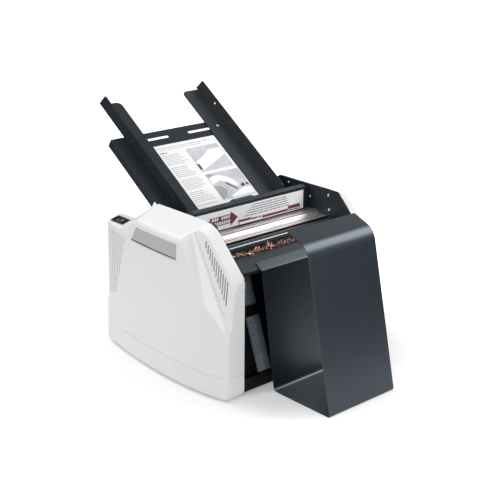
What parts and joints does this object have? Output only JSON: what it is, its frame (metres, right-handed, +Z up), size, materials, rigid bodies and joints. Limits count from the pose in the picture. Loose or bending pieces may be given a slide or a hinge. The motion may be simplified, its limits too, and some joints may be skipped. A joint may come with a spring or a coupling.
{
  "type": "paper folding machine",
  "caption": "Tabletop paper folder with feed tray, sliding guides, geared fold rollers, fold plates with stops, moulded side covers and a bent sheet stacker.",
  "frame": {"origin": "centre of the bounding box on the table, under the machine", "axes": "+Z up, the machine's front with the stacker towards -Y, the feed tray rising towards +Y, the switch and drive on the -X side"},
  "size_m": [0.385, 0.5567, 0.4175],
  "materials": {
    "base_pan": "satin black paint on sheet steel",
    "blank_plate": "satin moulded plastic",
    "copper_tinsel": "bright copper foil",
    "exit_chute": "satin black paint on sheet steel",
    "exit_rod": "bright brushed stainless",
    "feed_gear": "natural nylon",
    "feed_roller": "matt rubber",
    "feed_tray": "satin black paint on sheet steel",
    "fold_roller_1": "matt rubber",
    "fold_roller_1_gear": "natural nylon",
    "fold_roller_2": "matt rubber",
    "fold_roller_2_gear": "natural nylon",
    "fold_roller_3": "matt rubber",
    "fold_roller_3_gear": "natural nylon",
    "fold_roller_4": "matt rubber",
    "fold_roller_4_gear": "natural nylon",
    "foot_front_left": "matt rubber",
    "foot_front_right": "matt rubber",
    "foot_rear_left": "matt rubber",
    "foot_rear_right": "matt rubber",
    "front_tie_rod": "bright steel",
    "idler_gear": "natural nylon",
    "info_label": "white laminated card",
    "instruction_card": "white laminated card",
    "label_panel": "satin black paint on sheet steel",
    "left_bearing_plate": "natural nylon",
    "left_cover": "fine textured moulded plastic",
    "left_guide_knob": "satin moulded plastic",
    "left_paper_guide": "satin black paint on sheet steel",
    "left_side_plate": "satin black paint on sheet steel",
    "lower_fold_knob_left": "satin moulded plastic",
    "lower_fold_knob_right": "satin moulded plastic",
    "lower_fold_plate_back": "satin black paint on sheet steel",
    "lower_fold_plate_front": "satin black paint on sheet steel",
    "lower_fold_stop": "satin moulded plastic",
    "lower_tray_rod": "bright steel",
    "motor": "bright steel",
    "motor_pinion": "bright steel",
    "panel_carrier": "satin black paint on sheet steel",
    "power_inlet": "satin moulded plastic",
    "power_rocker": "satin moulded plastic",
    "rear_fold_knob": "satin moulded plastic",
    "rear_fold_plate_back": "satin black paint on sheet steel",
    "rear_fold_plate_front": "satin black paint on sheet steel",
    "rear_fold_stop": "satin moulded plastic",
    "rear_panel": "satin black paint on sheet steel",
    "rear_tie_rod": "bright steel",
    "reduction_gear": "natural nylon",
    "right_bearing_plate": "natural nylon",
    "right_cover": "fine textured moulded plastic",
    "right_guide_knob": "satin moulded plastic",
    "right_paper_guide": "satin black paint on sheet steel",
    "right_side_plate": "satin black paint on sheet steel",
    "roller_guard": "bright brushed stainless",
    "scale_strip": "dark grey printed strip",
    "separator_pad": "matt rubber",
    "stacker": "satin black paint on sheet steel",
    "switch_bezel": "satin moulded plastic",
    "upper_tray_rod": "bright steel"
  },
  "bodies": {
    "machine": {"base_pan": "base_pan", "blank_plate": "blank_plate", "copper_tinsel": "copper_tinsel", "exit_chute": "exit_chute", "exit_rod": "exit_rod", "feed_tray": "feed_tray", "foot_front_left": "foot_front_left", "foot_front_right": "foot_front_right", "foot_rear_left": "foot_rear_left", "foot_rear_right": "foot_rear_right", "front_tie_rod": "front_tie_rod", "info_label": "info_label", "instruction_card": "instruction_card", "label_panel": "label_panel", "left_bearing_plate": "left_bearing_plate", "left_cover": "left_cover", "left_side_plate": "left_side_plate", "lower_fold_plate_back": "lower_fold_plate_back", "lower_fold_plate_front": "lower_fold_plate_front", "lower_tray_rod": "lower_tray_rod", "motor": "motor", "panel_carrier": "panel_carrier", "power_inlet": "power_inlet", "rear_fold_plate_back": "rear_fold_plate_back", "rear_fold_plate_front": "rear_fold_plate_front", "rear_panel": "rear_panel", "rear_tie_rod": "rear_tie_rod", "right_bearing_plate": "right_bearing_plate", "right_cover": "right_cover", "right_side_plate": "right_side_plate", "roller_guard": "roller_guard", "scale_strip": "scale_strip", "separator_pad": "separator_pad", "switch_bezel": "switch_bezel", "upper_tray_rod": "upper_tray_rod"},
    "rocker": {"power_rocker": "power_rocker"},
    "left_guide": {"left_paper_guide": "left_paper_guide"},
    "right_guide": {"right_paper_guide": "right_paper_guide"},
    "left_guide_clamp": {"left_guide_knob": "left_guide_knob"},
    "right_guide_clamp": {"right_guide_knob": "right_guide_knob"},
    "feed": {"feed_roller": "feed_roller", "feed_gear": "feed_gear"},
    "fold_1": {"fold_roller_1": "fold_roller_1", "fold_roller_1_gear": "fold_roller_1_gear"},
    "fold_2": {"fold_roller_2": "fold_roller_2", "fold_roller_2_gear": "fold_roller_2_gear"},
    "fold_3": {"fold_roller_3": "fold_roller_3", "fold_roller_3_gear": "fold_roller_3_gear"},
    "fold_4": {"fold_roller_4": "fold_roller_4", "fold_roller_4_gear": "fold_roller_4_gear"},
    "idler": {"idler_gear": "idler_gear"},
    "reduction": {"reduction_gear": "reduction_gear"},
    "pinion": {"motor_pinion": "motor_pinion"},
    "lower_stop": {"lower_fold_stop": "lower_fold_stop"},
    "lower_clamp_left": {"lower_fold_knob_left": "lower_fold_knob_left"},
    "lower_clamp_right": {"lower_fold_knob_right": "lower_fold_knob_right"},
    "rear_stop": {"rear_fold_stop": "rear_fold_stop"},
    "rear_clamp": {"rear_fold_knob": "rear_fold_knob"},
    "stacker_bin": {"stacker": "stacker"}
  },
  "joints": [
    {"name": "rocker_tilt", "type": "hinge", "parent": "machine", "child": "rocker", "pos_m": [-0.15656, 0.15976, 0.22415], "axis": [0.9689, 0, 0.2473], "range_deg": [0, 14]},
    {"name": "left_guide_slide", "type": "slide", "parent": "machine", "child": "left_guide", "axis": [1, 0, 0], "range_m": [-0.005, 0.065]},
    {"name": "left_guide_clamp_turn", "type": "hinge", "parent": "left_guide", "child": "left_guide_clamp", "pos_m": [-0.0897, 0.1968, 0.34494], "axis": [0, 0.565, -0.8251], "range_deg": [0, 360]},
    {"name": "right_guide_slide", "type": "slide", "parent": "machine", "child": "right_guide", "axis": [-1, 0, 0], "range_m": [-0.005, 0.065]},
    {"name": "right_guide_clamp_turn", "type": "hinge", "parent": "right_guide", "child": "right_guide_clamp", "pos_m": [0.0897, 0.1968, 0.34494], "axis": [0, 0.565, -0.8251], "range_deg": [0, 360]},
    {"name": "fold_1_spin", "type": "hinge", "parent": "machine", "child": "fold_1", "pos_m": [0, -0.03374, 0.20436], "axis": [1, 0, 0], "continuous": true},
    {"name": "fold_2_spin", "type": "hinge", "parent": "machine", "child": "fold_2", "pos_m": [0, -0.01764, 0.18084], "axis": [1, 0, 0], "continuous": true},
    {"name": "fold_3_spin", "type": "hinge", "parent": "machine", "child": "fold_3", "pos_m": [0, -0.00884, 0.15374], "axis": [1, 0, 0], "continuous": true},
    {"name": "fold_4_spin", "type": "hinge", "parent": "machine", "child": "fold_4", "pos_m": [0, -0.06127, 0.21173], "axis": [1, 0, 0], "continuous": true},
    {"name": "feed_spin", "type": "hinge", "parent": "machine", "child": "feed", "pos_m": [0, 0.02126, 0.25008], "axis": [1, 0, 0], "continuous": true},
    {"name": "idler_spin", "type": "hinge", "parent": "machine", "child": "idler", "pos_m": [-0.1448, -0.00538, 0.22793], "axis": [1, 0, 0], "continuous": true},
    {"name": "reduction_spin", "type": "hinge", "parent": "machine", "child": "reduction", "pos_m": [-0.1448, 0.0267, 0.1182], "axis": [1, 0, 0], "continuous": true},
    {"name": "pinion_spin", "type": "hinge", "parent": "machine", "child": "pinion", "pos_m": [-0.1448, 0.07101, 0.11039], "axis": [1, 0, 0], "continuous": true},
    {"name": "lower_stop_slide", "type": "slide", "parent": "machine", "child": "lower_stop", "axis": [0, 0.342, 0.9397], "range_m": [-0.054, 0.026]},
    {"name": "lower_clamp_left_turn", "type": "hinge", "parent": "lower_stop", "child": "lower_clamp_left", "pos_m": [-0.055, -0.10279, 0.12489], "axis": [0, -0.9397, 0.342], "range_deg": [0, 360]},
    {"name": "lower_clamp_right_turn", "type": "hinge", "parent": "lower_stop", "child": "lower_clamp_right", "pos_m": [0.055, -0.10279, 0.12489], "axis": [0, -0.9397, 0.342], "range_deg": [0, 360]},
    {"name": "rear_stop_slide", "type": "slide", "parent": "machine", "child": "rear_stop", "axis": [0, 0.9511, 0.309], "range_m": [-0.058, 0.018]},
    {"name": "rear_clamp_turn", "type": "hinge", "parent": "rear_stop", "child": "rear_clamp", "pos_m": [0, 0.11537, 0.22093], "axis": [0, -0.309, 0.9511], "range_deg": [0, 360]},
    {"name": "stacker_lift", "type": "slide", "parent": "machine", "child": "stacker_bin", "axis": [0, 0, 1], "range_m": [0, 0.1]}
  ],
  "couplings": [
    {"joint": "fold_2_spin", "follows": "fold_1_spin", "ratio": -1},
    {"joint": "fold_3_spin", "follows": "fold_1_spin", "ratio": 1},
    {"joint": "fold_4_spin", "follows": "fold_1_spin", "ratio": -1},
    {"joint": "idler_spin", "follows": "fold_1_spin", "ratio": -0.63333},
    {"joint": "feed_spin", "follows": "fold_1_spin", "ratio": 1.1875},
    {"joint": "reduction_spin", "follows": "fold_1_spin", "ratio": -0.39583},
    {"joint": "pinion_spin", "follows": "fold_1_spin", "ratio": 1.5833}
  ]
}
